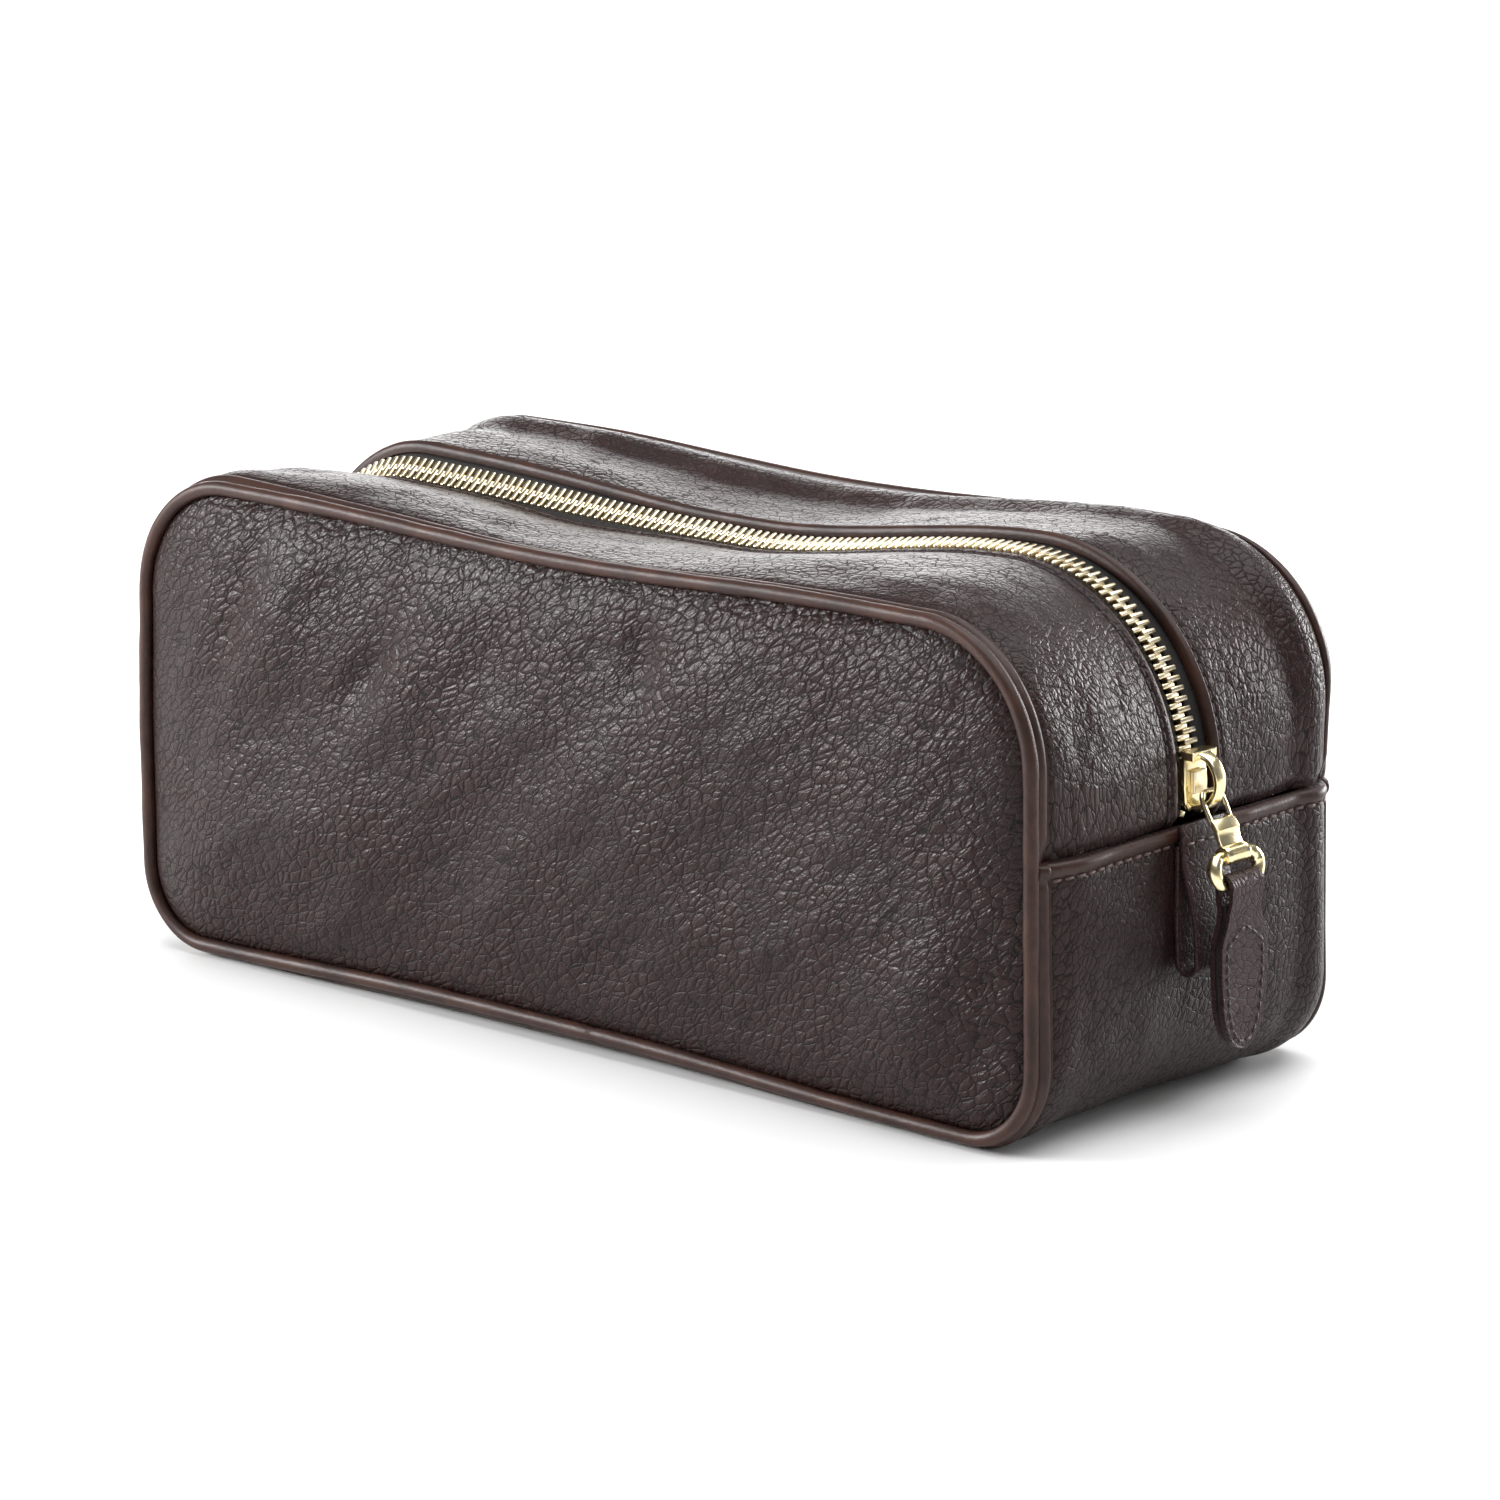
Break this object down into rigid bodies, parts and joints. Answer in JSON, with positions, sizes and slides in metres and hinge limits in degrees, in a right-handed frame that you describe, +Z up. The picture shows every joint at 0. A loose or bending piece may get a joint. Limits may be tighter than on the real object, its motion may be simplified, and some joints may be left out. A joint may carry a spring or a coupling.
{
  "type": "shaving kit bag",
  "caption": "Leather wash bag with piped side panels and a zip over the top and both ends, for shaving and grooming things.",
  "frame": {"origin": "middle of the flat base the bag stands on", "axes": "+X to the end where the closed zip slider sits, -Y to the front panel, +Z up"},
  "size_m": [0.3002, 0.117, 0.121],
  "materials": {
    "bag_leather": "pebbled, satin",
    "strap_leather": "pebbled, satin",
    "piping_leather": "smooth, satin",
    "seam_binding": "woven tape",
    "piping_cord": "twisted cotton",
    "lining": "plain weave",
    "zip_tape": "woven tape",
    "zip_teeth": "pale gold, polished",
    "gold_hardware": "pale gold, polished",
    "pull_filler": "raw edge"
  },
  "bodies": {
    "bag_body": {"front_panel": "bag_leather", "back_panel": "bag_leather", "bottom_gusset": "bag_leather", "gusset_lining": "lining", "front_piping": "piping_leather", "front_piping_cord": "piping_cord", "front_seam_binding": "seam_binding", "front_lining_panel": "lining", "rear_piping": "piping_leather", "rear_piping_cord": "piping_cord", "rear_seam_binding": "seam_binding", "rear_lining_panel": "lining", "front_right_top_gusset": "bag_leather", "front_right_zip_tape": "zip_tape", "front_right_lining": "lining", "front_right_teeth": "zip_teeth", "rear_right_top_gusset": "bag_leather", "rear_right_zip_tape": "zip_tape", "rear_right_lining": "lining", "rear_right_teeth": "zip_teeth", "front_left_top_gusset": "bag_leather", "front_left_zip_tape": "zip_tape", "front_left_lining": "lining", "front_left_teeth": "zip_teeth", "rear_left_top_gusset": "bag_leather", "rear_left_zip_tape": "zip_tape", "rear_left_lining": "lining", "rear_left_teeth": "zip_teeth", "zip_top_stops": "zip_teeth", "zip_bottom_stop": "zip_teeth"},
    "front_flap": {"front_flap_gusset": "bag_leather", "front_flap_zip_tape": "zip_tape", "front_flap_lining": "lining", "front_flap_teeth": "zip_teeth"},
    "rear_flap": {"rear_flap_gusset": "bag_leather", "rear_flap_zip_tape": "zip_tape", "rear_flap_lining": "lining", "rear_flap_teeth": "zip_teeth"},
    "slider": {"slider_body": "gold_hardware", "slider_bridge": "gold_hardware"},
    "pull_link": {"pull_link": "gold_hardware"},
    "pull_ring": {"pull_ring": "gold_hardware"},
    "leather_pull": {"pull_strap": "strap_leather", "pull_filler": "pull_filler"},
    "right_tab": {"right_end_tab": "strap_leather"},
    "left_tab": {"left_end_tab": "strap_leather"}
  },
  "joints": [
    {"name": "zip_slider", "type": "hinge", "parent": "bag_body", "child": "slider", "pos_m": [0.092, 0, 0.074], "axis": [0, -1, 0], "range_deg": [0, 88], "deforming": ["front_right_teeth", "rear_right_teeth"]},
    {"name": "link_swing", "type": "hinge", "parent": "slider", "child": "pull_link", "pos_m": [0.1432, 0, 0.0736], "axis": [0, -1, 0], "range_deg": [0, 95]},
    {"name": "ring_swing", "type": "hinge", "parent": "pull_link", "child": "pull_ring", "pos_m": [0.15001, 0, 0.06069], "axis": [0, -1, 0], "range_deg": [0, 70]},
    {"name": "pull_swing", "type": "hinge", "parent": "pull_ring", "child": "leather_pull", "pos_m": [0.15177, 0, 0.05453], "axis": [0, -1, 0], "range_deg": [0, 80]},
    {"name": "front_flap_open", "type": "hinge", "parent": "bag_body", "child": "front_flap", "pos_m": [0, -0.0486, 0.1147], "axis": [1, 0, 0], "range_deg": [0, 75]},
    {"name": "rear_flap_open", "type": "hinge", "parent": "bag_body", "child": "rear_flap", "pos_m": [0, 0.0486, 0.1147], "axis": [-1, 0, 0], "range_deg": [0, 75]},
    {"name": "right_tab_swing", "type": "hinge", "parent": "bag_body", "child": "right_tab", "pos_m": [0.1406, 0, 0.065], "axis": [0, -1, 0], "range_deg": [0, 6]},
    {"name": "left_tab_swing", "type": "hinge", "parent": "bag_body", "child": "left_tab", "pos_m": [-0.1406, 0, 0.065], "axis": [0, 1, 0], "range_deg": [0, 80]}
  ]
}
